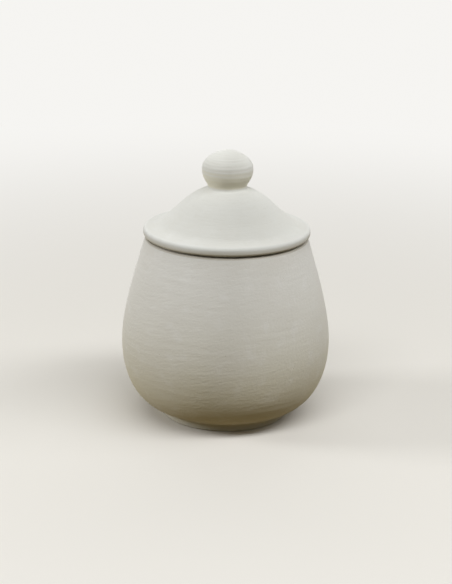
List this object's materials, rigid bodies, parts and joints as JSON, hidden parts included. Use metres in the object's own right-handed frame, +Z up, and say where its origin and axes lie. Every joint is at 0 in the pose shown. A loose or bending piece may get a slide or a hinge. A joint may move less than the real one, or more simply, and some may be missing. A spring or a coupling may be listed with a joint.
{
  "type": "lidded ceramic pot",
  "caption": "Pear-shaped unglazed bisque pot on a turned foot ring, with a loose domed lid that has a rounded flange, a locating skirt and a round knob; holds small dry goods.",
  "frame": {"origin": "on the pot's axis, in the plane that the foot ring stands on", "axes": "+Z up along the pot's axis, through the lid and the knob; the shape is turned, so X and Y are alike"},
  "size_m": [0.102, 0.102, 0.1319],
  "materials": {
    "bisque_pot": "dry matt bisque, fine turning lines, unglazed",
    "bisque_lid": "dry matt bisque, sponged smooth, unglazed"
  },
  "bodies": {
    "pot": {"pot": "bisque_pot"},
    "lid": {"lid": "bisque_lid", "lid_knob": "bisque_lid"}
  },
  "joints": [
    {"name": "lid_lift", "type": "slide", "parent": "pot", "child": "lid", "axis": [0, 0, 1], "range_m": [0, 0.1]}
  ]
}
